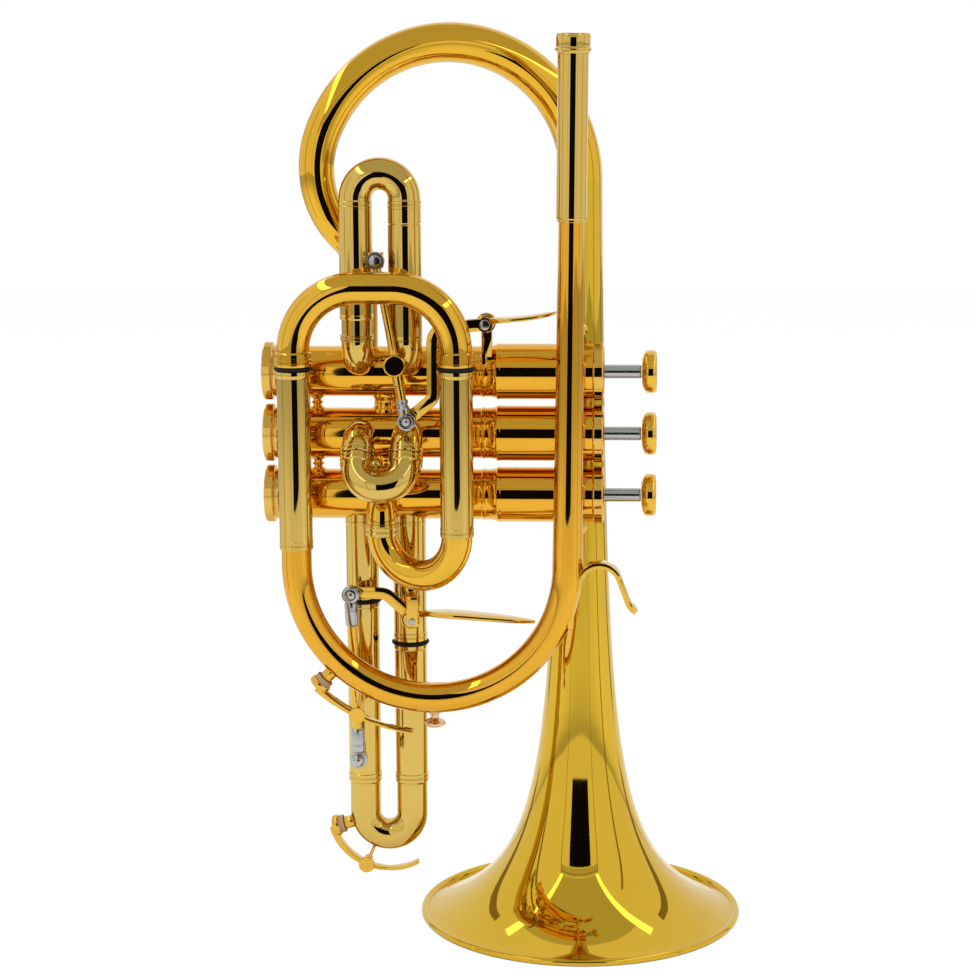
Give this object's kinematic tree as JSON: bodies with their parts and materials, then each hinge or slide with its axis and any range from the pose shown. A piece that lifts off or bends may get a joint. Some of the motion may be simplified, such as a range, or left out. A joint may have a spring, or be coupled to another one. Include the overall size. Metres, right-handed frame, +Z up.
{
  "type": "cornet",
  "caption": "Brass wind instrument with a flared bell, a curled crook, piston valves, a pull-out tuning slide, trigger-worked valve slides, sprung water keys and a finger hook.",
  "frame": {"origin": "middle of the bell's rim, in the plane that the instrument stands on", "axes": "+Z up the bell's axis, +X towards the finger buttons, -Y towards the leadpipe and the tuning slide"},
  "size_m": [0.1932, 0.134, 0.3702],
  "materials": {
    "lacquer_yellow": "polished, clear gold lacquer",
    "lacquer_red": "polished red brass, clear gold lacquer",
    "bare_brass": "polished, knurled edge",
    "silver": "polished silver plate",
    "monel": "ground and lapped",
    "spring_steel": "drawn wire",
    "black_rubber": "smooth, slightly glossy",
    "felt": "matte felt",
    "cork": "matte, speckled cork"
  },
  "bodies": {
    "cornet": {"bell": "lacquer_yellow", "bell_rim": "lacquer_yellow", "bell_crook": "lacquer_yellow", "valve_casing_1": "lacquer_yellow", "valve_casing_2": "lacquer_yellow", "valve_casing_3": "lacquer_yellow", "bottom_caps": "lacquer_yellow", "top_caps": "lacquer_yellow", "cap_felts": "felt", "valve_springs": "spring_steel", "valve_knuckles": "lacquer_yellow", "casing_webs": "lacquer_yellow", "leadpipe": "lacquer_red", "mouthpiece_receiver": "lacquer_yellow", "lead_bow": "lacquer_red", "tuning_sleeve_left": "lacquer_yellow", "tuning_sleeve_right": "lacquer_yellow", "inlet_bow": "lacquer_yellow", "first_fixed_tube": "lacquer_yellow", "first_fixed_sleeve": "lacquer_yellow", "second_fixed_sleeves": "lacquer_yellow", "third_fixed_tubes": "lacquer_yellow", "tube_braces": "lacquer_yellow", "pinky_hook": "lacquer_yellow", "lyre_holder": "lacquer_yellow", "first_trigger_post": "lacquer_yellow", "third_trigger_bracket": "lacquer_yellow", "trigger_pins": "silver", "trigger_springs": "spring_steel", "lead_key_seat": "lacquer_yellow"},
    "valve_1": {"piston_1": "monel", "valve_stem_1": "silver", "finger_button_1": "lacquer_yellow"},
    "valve_2": {"piston_2": "monel", "valve_stem_2": "silver", "finger_button_2": "lacquer_yellow"},
    "valve_3": {"piston_3": "monel", "valve_stem_3": "silver", "finger_button_3": "lacquer_yellow"},
    "tuning": {"tuning_slide": "lacquer_red", "tuning_bumpers": "black_rubber"},
    "first_slide": {"first_slide": "lacquer_yellow", "first_slide_lug": "lacquer_yellow"},
    "first_trigger": {"first_trigger": "lacquer_yellow"},
    "first_link": {"first_link": "lacquer_yellow", "first_link_socket": "silver"},
    "second_slide": {"second_slide": "lacquer_yellow", "second_slide_knob": "lacquer_yellow"},
    "third_slide": {"third_slide": "lacquer_yellow", "third_bumpers": "black_rubber", "third_slide_lug": "lacquer_yellow", "third_key_seat": "lacquer_yellow"},
    "third_trigger": {"third_trigger": "lacquer_yellow"},
    "third_rod": {"third_rod": "lacquer_yellow", "third_rod_sockets": "silver"},
    "lead_key": {"lead_water_key": "lacquer_yellow", "lead_key_cork": "cork"},
    "third_key": {"third_water_key": "lacquer_yellow", "third_key_cork": "cork"},
    "lyre_screw": {"lyre_screw": "bare_brass"}
  },
  "joints": [
    {"name": "valve_1_press", "type": "slide", "parent": "cornet", "child": "valve_1", "axis": [-1, 0, 0], "range_m": [0, 0.0138], "stiffness_N_per_m": 150, "springref_m": -0.012, "deforming": ["valve_springs"]},
    {"name": "valve_2_press", "type": "slide", "parent": "cornet", "child": "valve_2", "axis": [-1, 0, 0], "range_m": [0, 0.0138], "stiffness_N_per_m": 150, "springref_m": -0.012},
    {"name": "valve_3_press", "type": "slide", "parent": "cornet", "child": "valve_3", "axis": [-1, 0, 0], "range_m": [0, 0.0138], "stiffness_N_per_m": 150, "springref_m": -0.012},
    {"name": "tuning_pull", "type": "slide", "parent": "cornet", "child": "tuning", "axis": [0, 0, 1], "range_m": [0, 0.045]},
    {"name": "first_slide_pull", "type": "slide", "parent": "cornet", "child": "first_slide", "axis": [0, 0, 1], "range_m": [0, 0.0108], "stiffness_N_per_m": 60, "springref_m": -0.01, "deforming": ["trigger_springs"]},
    {"name": "first_trigger_press", "type": "hinge", "parent": "cornet", "child": "first_trigger", "pos_m": [-0.0361, -0.045, 0.2531], "axis": [0, 1, 0], "range_deg": [0, 16]},
    {"name": "first_link_swing", "type": "hinge", "parent": "first_slide", "child": "first_link", "pos_m": [-0.0781, -0.0494, 0.278], "axis": [0, 1, 0], "range_deg": [0, 8.3]},
    {"name": "second_slide_pull", "type": "slide", "parent": "cornet", "child": "second_slide", "axis": [0, -0.6157, -0.788], "range_m": [0, 0.0024]},
    {"name": "third_slide_push", "type": "slide", "parent": "cornet", "child": "third_slide", "axis": [0, 0, -1], "range_m": [0, 0.0131], "stiffness_N_per_m": 120, "springref_m": -0.014},
    {"name": "third_trigger_press", "type": "hinge", "parent": "cornet", "child": "third_trigger", "pos_m": [-0.0665, -0.0386, 0.1349], "axis": [0, -1, 0], "range_deg": [0, 30]},
    {"name": "third_rod_swing", "type": "hinge", "parent": "third_slide", "child": "third_rod", "pos_m": [-0.0882, -0.0424, 0.0771], "axis": [0, -1, 0], "range_deg": [0, 2]},
    {"name": "lead_key_press", "type": "hinge", "parent": "cornet", "child": "lead_key", "pos_m": [-0.08635, -0.058, 0.10043], "axis": [0, -1, 0], "range_deg": [0, 15], "stiffness_Nm_per_rad": 0.05, "springref_deg": -28.65},
    {"name": "third_key_press", "type": "hinge", "parent": "third_slide", "child": "third_key", "pos_m": [-0.08693, -0.027, 0.02897], "axis": [0, -1, 0], "range_deg": [0, 15], "stiffness_Nm_per_rad": 0.05, "springref_deg": -28.65},
    {"name": "lyre_screw_turn", "type": "hinge", "parent": "cornet", "child": "lyre_screw", "pos_m": [-0.0567, -0.047, 0.101], "axis": [0, 0, 1], "range_deg": [-180, 180]}
  ],
  "couplings": [
    {"joint": "first_trigger_press", "follows": "first_slide_pull", "rad_per_m": 25.857},
    {"joint": "first_link_swing", "follows": "first_slide_pull", "rad_per_m": 13.413},
    {"joint": "third_trigger_press", "follows": "third_slide_push", "rad_per_m": 39.969},
    {"joint": "third_rod_swing", "follows": "third_slide_push", "rad_per_m": 2.6646}
  ]
}
